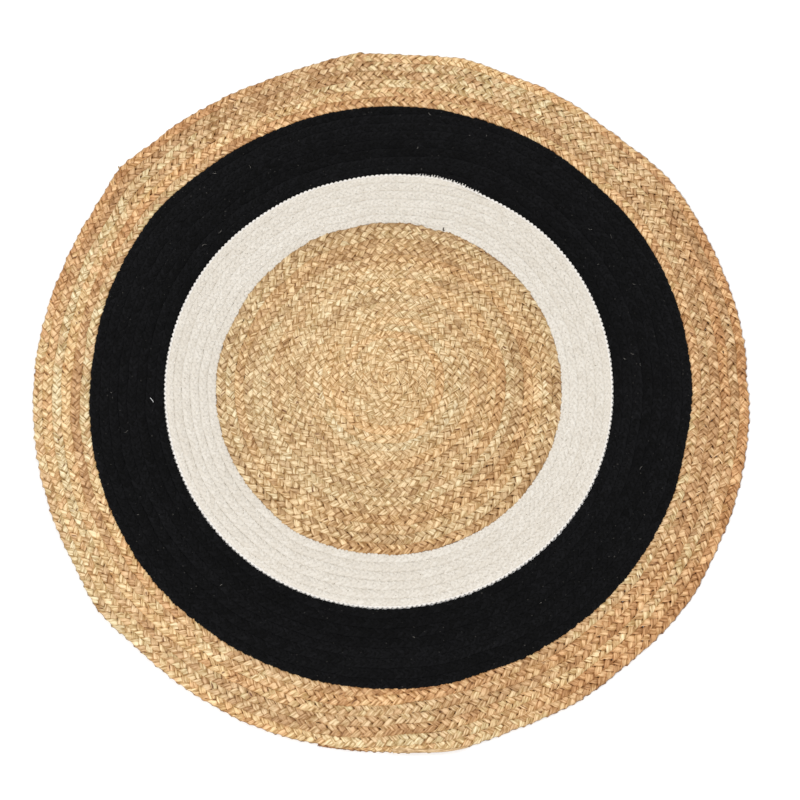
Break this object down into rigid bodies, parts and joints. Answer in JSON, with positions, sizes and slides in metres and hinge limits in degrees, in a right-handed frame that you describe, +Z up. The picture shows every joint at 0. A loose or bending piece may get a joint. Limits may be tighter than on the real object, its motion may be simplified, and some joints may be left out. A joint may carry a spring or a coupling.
{
  "type": "round braided rug",
  "caption": "Round flat rug wound from braid: a jute centre, a cream cotton ring, a black cotton ring and a jute outer ring.",
  "frame": {"origin": "on the ground under the middle of the rug's outline", "axes": "+Z up through the rug, +X to the right and +Y away as in the picture"},
  "size_m": [1.191, 1.2034, 0.0098],
  "materials": {
    "jute": "three-strand plait of natural golden jute, satiny fibres",
    "cream_cotton": "matt off-white cotton braid",
    "black_cotton": "matt black cotton braid"
  },
  "bodies": {
    "root": {"centre_coil": "jute", "cream_band": "cream_cotton", "black_band": "black_cotton", "outer_band": "jute"}
  },
  "joints": []
}
